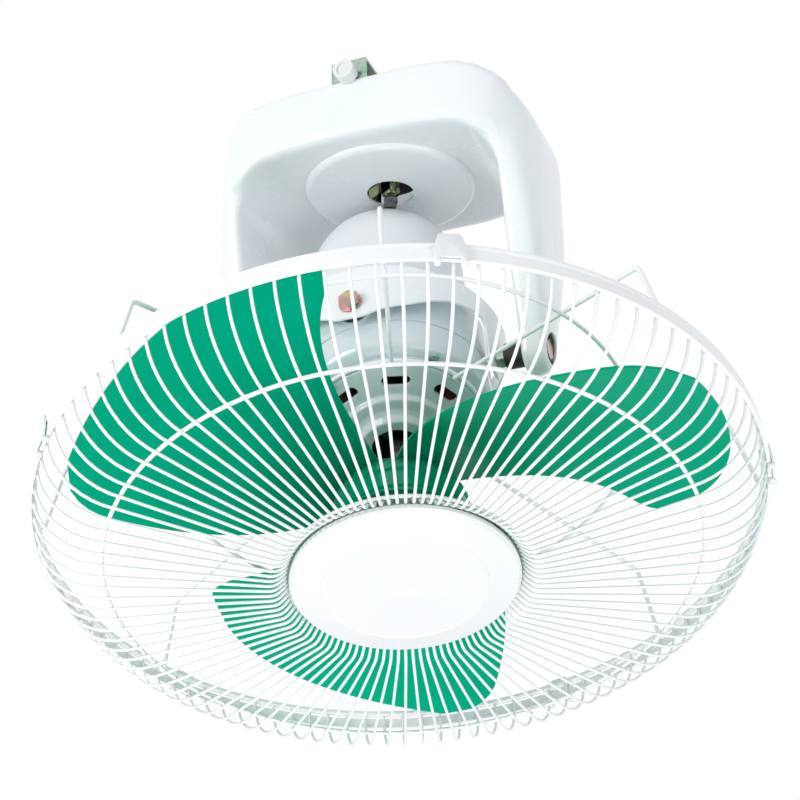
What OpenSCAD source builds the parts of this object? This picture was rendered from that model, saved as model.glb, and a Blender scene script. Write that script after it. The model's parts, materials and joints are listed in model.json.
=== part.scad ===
// Orbit fan for a ceiling: a pressed steel saddle carries a gimbal ring, the ring carries
// the fan head, and a slow crank on the head walks it round a cone.
// +Z is up, +X points at one arm, and the origin is the centre of the ceiling face.
// Heights in the fan head are measured from the gimbal centre along the fan's own axis.

/* [Orbit] */
// Ceiling face to gimbal centre
gimbal_drop = 212; // [205:1:230]
// Half angle of the cone that the head is walked round
orbit_tilt = 19.4; // [19:0.1:20]
// Compass direction of the lean at rest, from +X towards +Y
orbit_phase = 118; // [100:1:135]

/* [Saddle] */
// Overall length of the pan, arm to arm
pan_len = 244; // [240:1:252]
// Overall depth of the pan, front to back
pan_dep = 156; // [146:1:170]
// Corner radius of the pan seen from above
pan_r = 58; // [48:1:66]
// Radius where the pan's ends turn down into the arms
shoulder_r = 50; // [36:1:54]
// Gap between the ceiling face and the pan's rim
rim_gap = 15; // [8:1:18]
// Ceiling face to the underside of the plate
plate_drop = 62; // [60:0.5:66]
// Thickness of the pressed sheet
sheet = 1.5; // [1:0.1:2.5]
// Gap between the gimbal ring and the inner face of each arm
arm_gap = 20; // [17.5:0.5:23]
// Thickness of an arm at its pivot
arm_t = 19; // [18:0.5:21]
// Depth of an arm at its pivot
arm_low = 36; // [30:1:42]
// Depth of an arm half way up
arm_mid = 86; // [70:1:100]
// Depth of an arm where it leaves the pan
arm_high = 112; // [104:1:124]
// Radius of the dish pressed into the plate
dish_r = 57; // [52:1:60]
// Radius of the round shoulder of the dish
lip_r = 5; // [4:0.5:5.5]
// Depth of the shoulder below the plate
lip_drop = 4.2; // [3:0.1:4.5]
// Depth of the dish below the plate, at its hole
dish_drop = 3.6; // [3:0.1:4]
// Radius of the hole in the dish
dish_hole_r = 17; // [14:0.5:20]

/* [Ceiling bracket] */
// Width of the bracket strip
bracket_w = 26; // [20:1:34]
// Thickness of the bracket strip
bracket_t = 2; // [1.5:0.5:3]
// Distance between the two ceiling screw holes
screw_pitch = 90; // [70:1:100]
// Diameter of the ceiling screw holes
screw_hole = 6.5; // [5:0.5:8]
// Diameter of the thumb screw's head
knob_d = 15; // [12:0.5:18]

/* [Gimbal] */
// Distance out from the motor to the outer face of the gimbal ring
ring_out = 9.5; // [9:0.5:11]
// Thickness of the ring's sheet
ring_t = 2; // [1.5:0.5:2.5]
// Underside of the band above the pivot plane
band_low = 9; // [7:0.5:12]
// Height of the band
band_h = 24; // [18:1:25]
// Diameter of the pivot bolts
pivot_d = 8; // [6:0.5:10]
// Radius of the ears round the pivot bolts
ear_r = 14; // [12:0.5:15]

/* [Motor] */
// Outer radius of the motor
motor_r = 67; // [66:0.5:67.5]
// Wall of the motor shells
shell_t = 2; // [1.5:0.5:3]
// Height where the front shell starts to round off
motor_low = -28; // [-29:0.5:-27]
// Height where the rear shell starts to narrow
motor_top = 24; // [22:0.5:25]
// Joint between the rear shell and the front shell
split_z = -12; // [-16:0.5:-11.5]
// Radius of the rear cover's round top
dome_r = 56; // [55:0.5:57]
// Drop from the saddle's plate to the flat on top of the rear cover, with the fan hanging level
cover_drop = 10.5; // [10:0.5:14]
// Height of the rear cover's round top above the centre of that round
dome_h = 47.5; // [46:0.5:50]
// Diameter of the motor shaft
shaft_d = 10; // [8:0.5:11]
// Outer radius of the end of the nose
nose_r = 24; // [22:0.5:27]
// Radius of the opening in the nose
nose_hole_r = 16.5; // [14:0.5:18]
// Height of the front end of the nose
nose_z = -64; // [-68:0.5:-63]

/* [Orbit gears] */
// Size of the gear teeth, as pitch diameter over tooth count
gear_mod = 0.7; // [0.6:0.02:0.7]
// Teeth of each pinion
pinion_teeth = 12; // [12:1:13]
// Teeth of the first and the second wheel
wheel_teeth = 60; // [54:1:60]
// Teeth of the crank's wheel
crank_teeth = 84; // [80:1:90]
// Height of each wheel
gear_h = 4.4; // [3.5:0.1:4.6]
// Diameter of the pins that the wheels turn on
gear_pin_d = 4; // [3:0.2:4]

/* [Fan] */
// Gap between the blade tips and the guard's outer radius
tip_gap = 20; // [18:0.5:36]
// Thickness of a blade
blade_t = 2; // [1.6:0.2:3]
// Number of blades
blades = 3; // [3:1:4]
// Radius of the hub's wide part
hub_r = 45; // [42:0.5:47]
// Height of the top of the hub above the rear ring, as a share of the blades' radius
hub_lift = 0.126; // [0.115:0.001:0.135]

/* [Guard] */
// Outer radius of the guard
guard_r = 232.5; // [228:0.5:240]
// Height of the guard's rear ring
rim_z = -124.8; // [-130:0.2:-122]
// Number of wires in the front guard
wires = 104; // [72:1:120]
// Diameter of the front wires
wire_d = 2; // [1.6:0.1:2.4]
// Diameter of the rear guard's spokes
spoke_d = 3; // [2.5:0.1:4]
// Diameter of the rear guard's outer ring
rim_d = 4.4; // [4:0.1:5]
// Radius of the rear guard's middle ring
mid_r = 156.7; // [140:0.1:170]
// Height of the front hoop
hoop_h = 8; // [6:0.5:9]
// Distance in from the guard's outer radius to where the front wires turn flat
knee_in = 47; // [42:0.5:52]
// Knee of the front wires below the rear ring
knee_drop = 45.6; // [43:0.2:50]
// Distance out from the badge to where the front wires dip round it
bend_out = 8.5; // [7:0.5:14]
// Dip round the badge below the rear ring
bend_drop = 53.6; // [50:0.2:58]
// Radius of the badge
badge_r = 72; // [66:0.5:72.5]
// Width of a guard clip at its feet
clip_w = 19; // [16:0.5:24]

/* [Hidden] */

$fn = 64;
fit = 0.1;          // radial clearance of a running fit
snug = 0.05;        // clearance of parts that are fastened or welded together
gap = 0.3;          // clearance of parts that pass each other

ring_r = motor_r + ring_out;
arm_in = ring_r + arm_gap;

// ---- rest pose -------------------------------------------------------------
head_lean = asin(cos(orbit_phase) * sin(orbit_tilt));
ring_lean = -asin(sin(orbit_phase) * sin(orbit_tilt) / cos(head_lean));
// Direction, in the head, of the line straight up from the gimbal centre
crank_turn = atan2(sin(ring_lean), -cos(ring_lean) * sin(head_lean));

module at_gimbal() translate([0, 0, -gimbal_drop]) children();
module at_ring() at_gimbal() rotate([ring_lean, 0, 0]) children();
module at_head() at_ring() rotate([0, head_lean, 0]) children();
module at_crank() at_head() rotate([0, 0, crank_turn]) children();

module ring_of(n, start = 0) for (i = [0:n - 1]) rotate([0, 0, start + i * 360 / n]) children();
module both_x() for (a = [0, 180]) rotate([0, 0, a]) children();
module both_y() for (a = [90, 270]) rotate([0, 0, a]) children();
module along_x(x0, x1, r) translate([x0, 0, 0]) rotate([0, 90, 0]) cylinder(h = x1 - x0, r = r);
module along_z(z0, z1, r) translate([0, 0, z0]) cylinder(h = z1 - z0, r = r);
module tube(z0, z1, r_out, r_in) difference() {
    along_z(z0, z1, r_out);
    along_z(z0 - 1, z1 + 1, r_in);
}
module hex_x(x0, x1, flats) translate([x0, 0, 0]) rotate([0, 90, 0])
    cylinder(h = x1 - x0, d = flats / cos(30), $fn = 6);
// Round bar between two points of the X-Z plane
module bar(p, q, d) translate([p[0], 0, p[1]]) rotate([0, atan2(q[0] - p[0], q[1] - p[1]), 0])
    cylinder(h = norm(q - p), d = d);
module ring_wire(r, z, d) translate([0, 0, z]) rotate_extrude() translate([r, 0])
    circle(d = d, $fn = 32);

function arc(cx, cy, r, a0, a1, n = 8) =
    [for (i = [0:n]) [cx + r * cos(a0 + (a1 - a0) * i / n), cy + r * sin(a0 + (a1 - a0) * i / n)]];
function mix(a, b, t) = a + (b - a) * t;
function mirrored(pts) = [for (i = [len(pts) - 1:-1:0]) [-pts[i][0], pts[i][1]]];

// ---- saddle ----------------------------------------------------------------
pan_rim = -rim_gap;
plate_z = -plate_drop;
inner_r = 30;                       // inside corner between plate and arm
arm_out = arm_in + arm_t;
arm_top = plate_z - 12;             // the pan has drawn in to the arm here
dish_z = plate_z - dish_drop;
dish_flat = dish_hole_r + 19;       // the dish is flat round its hole up to here
pivot_r = pivot_d / 2;
boss_r = pivot_r + 5;               // tube inside the arm that the bolt clamps
hatch_r = 11;                       // opening in the arm's outer side, to reach the bolt
bolt_seat = arm_out - 8;            // seat of the arm bolt's head

// Outline in the X-Z plane, drawn in by i
module front_outline(i) {
    foot = -gimbal_drop - arm_low;
    side = [[arm_out - i, foot], [arm_out - i, -gimbal_drop], [pan_len / 2 - i, plate_z - inner_r]];
    outer = concat(side, arc(pan_len / 2 - shoulder_r, pan_rim - shoulder_r, shoulder_r - i, 0, 90));
    inner = concat(arc(arm_in - inner_r, plate_z - inner_r, inner_r + i, 90, 0), [[arm_in + i, foot]]);
    polygon(concat(outer, mirrored(outer), mirrored(inner), inner));
}
module plan_outline(i) {
    x = pan_len / 2 - pan_r;
    y = pan_dep / 2 - pan_r;
    polygon(concat(arc(x, y, pan_r - i, 0, 90), arc(-x, y, pan_r - i, 90, 180),
        arc(-x, -y, pan_r - i, 180, 270), arc(x, -y, pan_r - i, 270, 360)));
}
// Outline in the Y-Z plane, where the arms narrow down to their round ends
module side_outline(i) {
    half = [[arm_low / 2 - i, -gimbal_drop], [arm_mid / 2 - i, mix(arm_top, -gimbal_drop, 0.38)],
        [arm_high / 2 - i, arm_top + i], [pan_dep / 2 - i, plate_z + i], [pan_dep / 2 - i, 1]];
    polygon(concat(half, mirrored(half)));
    translate([0, -gimbal_drop]) circle(r = arm_low / 2 - i);
}
module saddle_solid(i) intersection() {
    translate([0, pan_dep, 0]) rotate([90, 0, 0]) linear_extrude(2 * pan_dep) front_outline(i);
    translate([0, 0, -gimbal_drop - arm_low]) linear_extrude(gimbal_drop + arm_low) plan_outline(i);
    translate([-pan_len, 0, 0]) rotate([90, 0, 90]) linear_extrude(2 * pan_len) side_outline(i);
}
// Shallow dish in the plate's round hole; its shoulder bears on the plate from below
module dish_outline() {
    lip_z = plate_z + lip_r - lip_drop;
    floor_part = [[dish_flat, dish_z], [dish_hole_r, dish_z]];
    back = [[dish_hole_r, dish_z + sheet], [dish_flat, dish_z + sheet],
        [dish_r - lip_r, lip_z - lip_r + sheet], [dish_r - 1, plate_z + sheet],
        [dish_r + lip_r, plate_z + sheet]];
    polygon(concat(arc(dish_r, lip_z, lip_r, 0, -90), floor_part, back));
}
tab_y = pan_dep / 2 - sheet - 0.2;  // outer face of the bracket's legs
stud_z = pan_rim + 2;               // thumb screws
stud_r = 2.4;
slot_r = stud_r + 0.2;
notch_x = 30;                       // half length of the step in the rim

module base_frame() color("white") {
    difference() {
        saddle_solid(0);
        difference() {
            saddle_solid(sheet);
            both_x() at_gimbal() along_x(arm_in, bolt_seat, boss_r);
        }
        // the pan is open to the ceiling inside its rolled rim
        translate([0, 0, pan_rim - 8]) linear_extrude(20) intersection() {
            plan_outline(sheet);
            square([pan_len - 2 * shoulder_r, pan_dep], center = true);
        }
        both_x() at_gimbal() {
            along_x(arm_in - 1, bolt_seat + 1, pivot_r + snug);
            along_x(bolt_seat, arm_out + 9, hatch_r);
        }
        along_z(plate_z - 1, plate_z + 3, dish_r + 1);
        for (s = [-1, 1]) translate([-notch_x, s * pan_dep / 2 - 5, pan_rim - 2])
            cube([2 * notch_x, 10, 9]);
        both_y() translate([0, 0, stud_z]) {
            along_x(pan_dep / 2 - 6, pan_dep / 2 + 6, slot_r);
            translate([pan_dep / 2 - 6, -slot_r, 0]) cube([12, 2 * slot_r, 20]);
        }
    }
}
module dish_cup() color("white") difference() {
    rotate_extrude() dish_outline();
    tube(plate_z - snug, plate_z + sheet + 2, dish_r + lip_r + 2, dish_r + 1 - snug);
}

// Strip screwed to the ceiling; its legs stand inside the pan's long sides
module ceiling_bracket() color("silver") difference() {
    union() {
        translate([-bracket_w / 2, -tab_y, -bracket_t]) cube([bracket_w, 2 * tab_y, bracket_t]);
        both_y() translate([tab_y - bracket_t, -bracket_w / 2, stud_z - 12])
            cube([bracket_t, bracket_w, 12 - stud_z]);
    }
    for (s = [-1, 1]) translate([0, s * screw_pitch / 2, 0]) along_z(-bracket_t - 1, 1, screw_hole / 2);
    both_y() translate([0, 0, stud_z]) along_x(tab_y - 9, tab_y + 2, stud_r + fit);
    both_y() translate([0, 8, stud_z]) along_x(tab_y - 4, tab_y + 2, 2);
}
module bracket_nuts() color("silver") both_y() translate([0, 0, stud_z]) difference() {
    hex_x(tab_y - bracket_t - 4, tab_y - bracket_t, 8);
    along_x(tab_y - bracket_t - 5, tab_y, stud_r + fit);
}
module thumb_screw(turn) color("white") rotate([0, 0, turn]) translate([0, 0, stud_z]) difference() {
    union() {
        along_x(tab_y - 10, pan_dep / 2 + 2, stud_r);
        along_x(pan_dep / 2 + snug, pan_dep / 2 + 9, knob_d / 2);
    }
    along_x(pan_dep / 2 + 7.5, pan_dep / 2 + 10, knob_d / 2 - 2.5);
}

block_z = plate_z + sheet;
block_x = -(dish_r + lip_r + 12);
module at_terminals() translate([block_x, 0, block_z]) for (y = [-11, 0, 11]) translate([0, y, 0]) children();
module terminal_block() color("ivory") difference() {
    translate([block_x - 8, -18, block_z]) cube([16, 36, 12]);
    at_terminals() {
        along_z(7, 14, 2.6);
        translate([0, 0, 4]) along_x(-10, 10, 1.8);
    }
}
module terminal_screws() color("gold") at_terminals() difference() {
    along_z(7, 10, 2.4);
    translate([-0.4, -3, 9.2]) cube([0.8, 6, 2]);
}

// ---- crank -----------------------------------------------------------------
dome_top = gimbal_drop - plate_drop - cover_drop;
dome_c = dome_top - dome_h;                  // centre of the cover's round top
dome_span = acos(dome_h / dome_r);
crank_z = dome_top + 1;                      // underside of the crank arm at its shaft
crank_t = 2;
crank_shaft_r = 4;
crank_pin_r = 3;
crank_end_r = 5;
pad = 0.15;                                  // the arm is a little thicker at its two ends
pin_h = 5.1;                                 // the pin stands out of the arm's end by this
// Height of the arm's end over the cover, and the reach that puts the pin on the saddle's centre line
function end_at(reach) = dome_c + sqrt(dome_r * dome_r - pow(reach - crank_end_r, 2)) + 1.9;
function reach_at(n) = tan(orbit_tilt) *
    (n == 0 ? dome_top : end_at(reach_at(n - 1)) + crank_t + pin_h - 1);
crank_reach = reach_at(16);
crank_knee = dome_r * sin(dome_span) + 1;    // the arm dips past the edge of the cover's flat top
end_in = crank_reach - crank_end_r;
end_z = end_at(crank_reach);
pin_top = end_z + crank_t + pin_h;
socket_z = norm([crank_reach + crank_pin_r, pin_top]) + gap - gimbal_drop;
socket_r = 7;
socket_turn = -30;
strip_z = dish_z + sheet;
strip_t = 2;
leg_x = dish_hole_r + 3;                     // legs of the round cover over the dish's hole
leg_h = 11.4;
bridge_z = strip_z + leg_h - strip_t;
screw_x = leg_x + 8;
module at_socket() rotate([0, 0, socket_turn]) children();

// The crank's pin turns under this boss; the two only just clear each other
module crank_socket() color("gold") at_socket() difference() {
    union() {
        both_x() {
            translate([leg_x, -socket_r, strip_z]) cube([14, 2 * socket_r, strip_t]);
            translate([leg_x, -socket_r, strip_z]) cube([strip_t, 2 * socket_r, leg_h]);
        }
        along_z(bridge_z, bridge_z + strip_t, leg_x + strip_t);
        along_z(socket_z, bridge_z + 1, socket_r);
    }
    along_z(socket_z - 1, socket_z + 4, crank_pin_r + 1.5);
    both_x() translate([screw_x, 0, 0]) along_z(strip_z - 1, strip_z + 3, 2);
}
module socket_screws() color("silver") at_socket() both_x() translate([screw_x, 0, strip_z]) {
    along_z(0, 3, 2 - snug);
    along_z(strip_t, 4.5, 4);
}
module crank_arm() color("silver") at_crank() difference() {
    union() {
        along_z(crank_z - pad, crank_z + crank_t + pad, 9);
        translate([crank_reach, 0, 0]) along_z(end_z - pad, end_z + crank_t + pad, crank_end_r);
        translate([0, crank_end_r - 0.5, 0]) rotate([90, 0, 0]) linear_extrude(2 * crank_end_r - 1)
            polygon([[0, crank_z], [crank_knee, crank_z], [end_in, end_z], [crank_reach, end_z],
                [crank_reach, end_z + crank_t], [end_in + 1, end_z + crank_t],
                [crank_knee + 0.5, crank_z + crank_t], [0, crank_z + crank_t]]);
    }
    along_z(crank_z - 1, crank_z + crank_t + 1, crank_shaft_r + snug);
    translate([crank_reach, 0, 0]) along_z(end_z - 1, end_z + crank_t + 1, crank_pin_r + snug);
}
module crank_pin() color("gray") at_crank() translate([crank_reach, 0, 0])
    along_z(end_z, pin_top, crank_pin_r);
module crank_screw() color("silver") at_crank()
    along_z(crank_z + crank_t + pad, crank_z + crank_t + 1.3, crank_shaft_r + 1);

// ---- orbit gears -----------------------------------------------------------
// The motor's pinion turns the first wheel, whose pinion turns the second, whose pinion
// turns the crank's wheel: 12/60 x 12/60 x 12/84, one turn of the crank in 175 of the fan.
pinion_r = gear_mod * pinion_teeth / 2;
wheel_r = gear_mod * wheel_teeth / 2;
crank_wheel_r = gear_mod * crank_teeth / 2;
first_x = pinion_r + wheel_r;
second_d = pinion_r + crank_wheel_r;         // second pin to the crank's axis
second_x = second_d * second_d / (2 * first_x);
second_y = sqrt(second_d * second_d - second_x * second_x);
to_second = atan2(second_y, second_x - first_x);
from_axis = atan2(second_y, second_x);
gear_pin_r = gear_pin_d / 2;
box_z = motor_top + 10.1;                    // gearbox base on the rear shell's cap
tier = gear_h + 0.6;
first_z = box_z + 4;                         // motor pinion and first wheel
second_z = first_z + tier + 2.4;             // first pinion and second wheel
third_z = second_z + tier + 2.4;             // second pinion and the crank's wheel
lid_z = third_z + tier + 3;
post_r = 4;
boss_out = crank_shaft_r + 4;                // tube round the crank's shaft

// Toothed outline with a tooth's middle, or a gap's where half is 0.5, at angle 0
module gear_outline(teeth, half = 0) {
    r = gear_mod * teeth / 2;
    step = 360 / teeth;
    function tip(i, f, rr) = [rr * cos((i + half + f) * step), rr * sin((i + half + f) * step)];
    polygon([for (i = [0:teeth - 1]) for (p = [[-0.29, -1.1], [-0.12, 0.75], [0.12, 0.75], [0.29, -1.1]])
        tip(i, p[0], r + p[1] * gear_mod)]);
}
module gear(z, h, teeth, half = 0) translate([0, 0, z]) linear_extrude(h) gear_outline(teeth, half);
module at_first() at_head() translate([first_x, 0, 0]) children();
module at_second() at_head() translate([second_x, second_y, 0]) children();

module motor_pinion() color("gold") at_head() difference() {
    gear(first_z - 1, gear_h + 2, pinion_teeth);
    along_z(first_z - 2, first_z + gear_h + 2, neck_r + snug);
}
module gear_first() color("gold") at_first() difference() {
    union() {
        rotate([0, 0, 180]) gear(first_z, gear_h, wheel_teeth, 0.5);
        along_z(first_z + gear_h, second_z - 0.8, pinion_r + 0.5);
        rotate([0, 0, to_second]) gear(second_z - 1, gear_h + 1.6, pinion_teeth);
    }
    along_z(first_z - 1, second_z + gear_h + 2, gear_pin_r + fit);
}
module gear_second() color("gold") at_second() difference() {
    union() {
        rotate([0, 0, to_second + 180]) gear(second_z, gear_h, wheel_teeth, 0.5);
        along_z(second_z + gear_h, third_z - 0.8, pinion_r + 0.5);
        rotate([0, 0, from_axis + 180]) gear(third_z - 1, gear_h + 1.6, pinion_teeth);
    }
    along_z(second_z - 1, third_z + gear_h + 2, gear_pin_r + fit);
}
module crank_gear() color("gold") at_head() {
    rotate([0, 0, from_axis]) gear(third_z, gear_h, crank_teeth, 0.5);
    along_z(third_z - 1, crank_z + crank_t, crank_shaft_r);
}
module gearbox_base() color("silver") at_head() {
    difference() {
        along_z(box_z, box_z + 2, 51);
        along_z(box_z - 1, box_z + 3, shaft_r + 1.5);
    }
    translate([first_x, 0, 0]) {
        along_z(box_z + 2, second_z + gear_h + 0.6, gear_pin_r);
        along_z(box_z + 2, first_z - gap, gear_pin_r + 1);
    }
    translate([second_x, second_y, 0]) {
        along_z(box_z + 2, third_z + gear_h + 0.6, gear_pin_r);
        along_z(box_z + 2, second_z - gap, gear_pin_r + 1);
    }
    for (a = [150, 210, 290]) rotate([0, 0, a]) translate([44, 0, 0]) along_z(box_z + 2, lid_z, post_r);
}
module gearbox_lid() color("silver") at_head() difference() {
    union() {
        along_z(lid_z, lid_z + 2.5, 49.5);
        along_z(lid_z, crank_z - gap, boss_out);
    }
    along_z(lid_z - 1, crank_z, crank_shaft_r + fit);
}

// ---- pivots ----------------------------------------------------------------
nut_end = ring_r + gap + 6;
module arm_bolts() color("gold") at_gimbal() both_x() {
    along_x(ring_r - ring_t, bolt_seat + 1, pivot_r);
    hex_x(bolt_seat, bolt_seat + 5.5, 13);
}
module arm_bushes() color("black") at_gimbal() both_x() difference() {
    along_x(nut_end, arm_in, boss_r);
    along_x(nut_end - 1, arm_in + 1, pivot_r + snug);
}
module arm_nuts() color("silver") at_gimbal() both_x() difference() {
    hex_x(ring_r + gap, nut_end, 13);
    along_x(ring_r, nut_end + 1, pivot_r + snug);
}

// ---- gimbal ring -----------------------------------------------------------
band_top = band_low + band_h;
ring_in = ring_r - ring_t;
module gimbal_ring() color("white") at_ring() difference() {
    union() {
        tube(band_low, band_top, ring_r, ring_in);
        intersection() {
            tube(-ear_r, band_low + 1, ring_r, ring_in);
            ring_of(4) union() {
                along_x(ring_in - 10, ring_r + 10, ear_r);
                translate([ring_in - 10, -ear_r, 0]) cube([ring_t + 20, 2 * ear_r, band_low + 1]);
            }
        }
    }
    ring_of(4) along_x(ring_in - 10, ring_r + 10, pivot_r + fit);
}
shell_in = motor_r - shell_t;
bush_r = 10;
bush_seat = motor_r + 2;
module ring_bolts() color("gold") at_head() both_y() {
    along_x(shell_in, ring_r + 2, pivot_r);
    along_x(ring_r + gap, ring_r + gap + 1.2, 8);
    hex_x(ring_r + gap + 1, ring_r + gap + 5.2, 13);
}
module ring_bushes() color("black") at_head() both_y() difference() {
    along_x(bush_seat, sqrt(ring_in * ring_in - bush_r * bush_r) - gap, bush_r);
    along_x(bush_seat - 1, ring_r, pivot_r + snug);
}

// ---- motor -----------------------------------------------------------------
shaft_r = shaft_d / 2;
neck_r = 2.2;                       // top of the shaft, which carries the pinion
cap_z = motor_top + 6;
cap_r = 54;
screw_at = motor_r - 5.5;           // pitch radius of the long shell screws
screw_r = 2;
core_low = motor_low + 2;
core_top = 4;
core_in = 32;
wind_r = screw_at - 5;              // the windings stay inside the screws

module rear_shell() color("lightsteelblue") at_head() difference() {
    union() {
        rotate_extrude() difference() {
            polygon([[0, split_z], [motor_r, split_z], [motor_r, motor_top], [cap_r, cap_z],
                [cap_r, cap_z + 4], [0, cap_z + 4]]);
            polygon([[-1, split_z - 1], [shell_in, split_z - 1], [shell_in, motor_top - 1],
                [cap_r - 2, cap_z], [-1, cap_z]]);
        }
        ring_of(4, 45) translate([screw_at, 0, 0]) along_z(core_top + snug, motor_top + 1, screw_r + 2);
        tube(cap_z - 8, cap_z + 1, bearing_r + 3, bearing_r);
        both_y() along_x(shell_in + 0.5, bush_seat, bush_r + 1);
    }
    both_y() along_x(shell_in - 1, bush_seat + 1, pivot_r + snug);
    ring_of(4, 45) translate([screw_at, 0, 0]) along_z(core_top - 1, motor_top - 4, screw_r + snug);
    along_z(cap_z - 1, cap_z + 5, shaft_r + 1.5);
}
flare_r = motor_r - 2.5;
cover_low = motor_top + 2;
module cover_outline(i) polygon(concat(
    [[0, cover_low], [flare_r - i, cover_low], [flare_r - 4 - i, cover_low + 11],
        [dome_r + 1 - i, cover_low + 30]],
    arc(0, dome_c, dome_r - i, 0, 90 - dome_span, 16), [[0, dome_top - i]]));
module rear_cover() color("whitesmoke") at_head() difference() {
    rotate_extrude() difference() {
        cover_outline(0);
        translate([0, -0.01]) cover_outline(1.5);
    }
    along_z(dome_top - 5, dome_top + 1, boss_out + snug);
}
neck_out = 57.5;                    // straight neck below the front shell's round shoulder
face_z = -44;
step_r = 37;
step_z = -51;
shoulder = motor_r - neck_out - 0.5;
bearing_r = 13;
bearing_h = 7;
module front_shell() color("lightsteelblue") at_head() difference() {
    union() {
        rotate_extrude() difference() {
            polygon(concat([[0, split_z], [motor_r, split_z]],
                arc(motor_r - shoulder, motor_low, shoulder, 0, -90),
                [[neck_out, face_z], [neck_out - 2.5, face_z - 1.5], [step_r, step_z],
                [step_r - 1, step_z - 4],
                [29, step_z - 5.5], [26, step_z - 8], [nose_r, nose_z], [0, nose_z]]));
            polygon(concat([[-1, split_z + 1], [shell_in, split_z + 1]],
                arc(motor_r - shoulder, motor_low, shoulder - shell_t, 0, -90),
                [[neck_out - shell_t, motor_low - shoulder], [neck_out - shell_t, face_z + 1],
                [step_r - 1, step_z + 2.2], [-1, step_z + 2.2]]));
        }
        tube(step_z + 2, step_z + 2.2 + bearing_h, bearing_r + 3, bearing_r);
    }
    along_z(nose_z - 1, step_z - 3, nose_hole_r);
    along_z(nose_z, step_z + 3, shaft_r + 1);
    ring_of(8, vent_turn) translate([46, 0, 0]) vent();
    ring_of(4, 45) translate([screw_at, 0, 0]) along_z(nose_z, motor_low, screw_r + snug);
}
vent_turn = -69;
vent_r = 3.6;
module vent() translate([0, 0, step_z - 3]) {
    for (s = [-1, 1]) translate([0, 6 * s, 0]) cylinder(h = 14, r = vent_r);
    translate([-vent_r, -6, 0]) cube([2 * vent_r, 12, 14]);
}
module shell_screws() color("silver") at_head() ring_of(4, 45) translate([screw_at, 0, 0]) {
    along_z(motor_low - shoulder - 1, motor_top - 5, screw_r);
    along_z(motor_low - shoulder - 2.5, motor_low - shoulder - snug, 3.6);
}
module stator_core() color("gray") at_head() difference() {
    tube(core_low, core_top, shell_in - 0.4, core_in);
    ring_of(4, 45) translate([screw_at, 0, 0]) along_z(core_low - 1, core_top + 1, screw_r + snug);
}
module stator_winding() color("orangered") at_head() {
    tube(core_low - 7, core_low - snug, wind_r - 2, core_in + 4);
    tube(core_top + snug, core_top + 11, wind_r, core_in + 4);
}
module bearing(z) at_head() tube(z, z + bearing_h, bearing_r - snug, shaft_r + fit / 2);
module front_bearing() color("silver") bearing(step_z + 2.2 + snug);
module rear_bearing() color("silver") bearing(cap_z - bearing_h - snug);
module run_capacitor() color("dimgray") at_head() translate([-36, -12, lid_z + 2.5 + snug])
    cube([18, 30, 24]);

// ---- fan -------------------------------------------------------------------
blade_r = guard_r - tip_gap;
hub_top = rim_z + hub_lift * blade_r;
hub_low = hub_top - 40;
hub_bore = shaft_r + snug;
pin_z = hub_top - 3;
pin_r = 2;
module motor_shaft() color("silver") at_head() difference() {
    union() {
        along_z(hub_low - 6, first_z - 2, shaft_r);
        along_z(first_z - 3, first_z + gear_h + 1, neck_r);
    }
    translate([0, 0, pin_z]) along_x(-shaft_r - 1, shaft_r + 1, pin_r + snug);
}
module rotor_core() color("gray") at_head() tube(core_low, core_top, core_in - 0.5, shaft_r + snug);
module drive_pin() color("silver") at_head() translate([0, 0, pin_z]) along_x(-13, 13, pin_r);

// Leading edge (v = 0) and trailing edge (v = 1) of a blade, as bearing and height at radius r
blade_turn = -161.6;
function lead_a(f) = -33.3 + 53.3 * f - 24.5 * pow(f - 0.612, 2);
function lead_z(f) = blade_r * (0.1461 - 0.233 * f);
function trail_a(f) = 52.6 + 31.2 * f + 29 * pow(f - 0.612, 2);
function trail_z(f) = blade_r * (0.2051 - 0.117 * pow(0.894 - f, 2));
function tip_r(v) = blade_r * (1 - 0.106 * pow(v, 4) + 0.009 * pow(1 - v, 5));
root_r = 0.6 * hub_r;
camber = 0.45 * blade_t;
function blade_pt(u, v, side) = let(
    r = mix(root_r, tip_r(v), u),
    f = r / blade_r,
    a = mix(lead_a(f), trail_a(f), v) + blade_turn,
    z = rim_z + mix(lead_z(f), trail_z(f), v) + camber * sin(180 * v) + side * blade_t / 2)
    [r * cos(a), r * sin(a), z];
blade_n = 8;
module blade() {
    m = blade_n + 1;
    pts = [for (s = [1, -1]) for (i = [0:blade_n]) for (j = [0:blade_n])
        blade_pt(i / blade_n, j / blade_n, s)];
    function id(s, i, j) = s * m * m + i * m + j;
    last = blade_n - 1;
    sheets = [for (i = [0:last]) for (j = [0:last]) for (f = [
        [id(0, i, j), id(0, i, j + 1), id(0, i + 1, j + 1)],
        [id(0, i, j), id(0, i + 1, j + 1), id(0, i + 1, j)],
        [id(1, i, j), id(1, i + 1, j + 1), id(1, i, j + 1)],
        [id(1, i, j), id(1, i + 1, j), id(1, i + 1, j + 1)]]) f];
    edge = concat([for (j = [0:last]) [0, j]], [for (i = [0:last]) [i, blade_n]],
        [for (j = [blade_n:-1:1]) [blade_n, j]], [for (i = [blade_n:-1:1]) [i, 0]]);
    rims = [for (k = [0:len(edge) - 1]) let(a = edge[k], b = edge[(k + 1) % len(edge)]) for (f = [
        [id(0, a[0], a[1]), id(1, a[0], a[1]), id(1, b[0], b[1])],
        [id(0, a[0], a[1]), id(1, b[0], b[1]), id(0, b[0], b[1])]]) f];
    polyhedron(pts, concat(sheets, rims));
}
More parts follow.
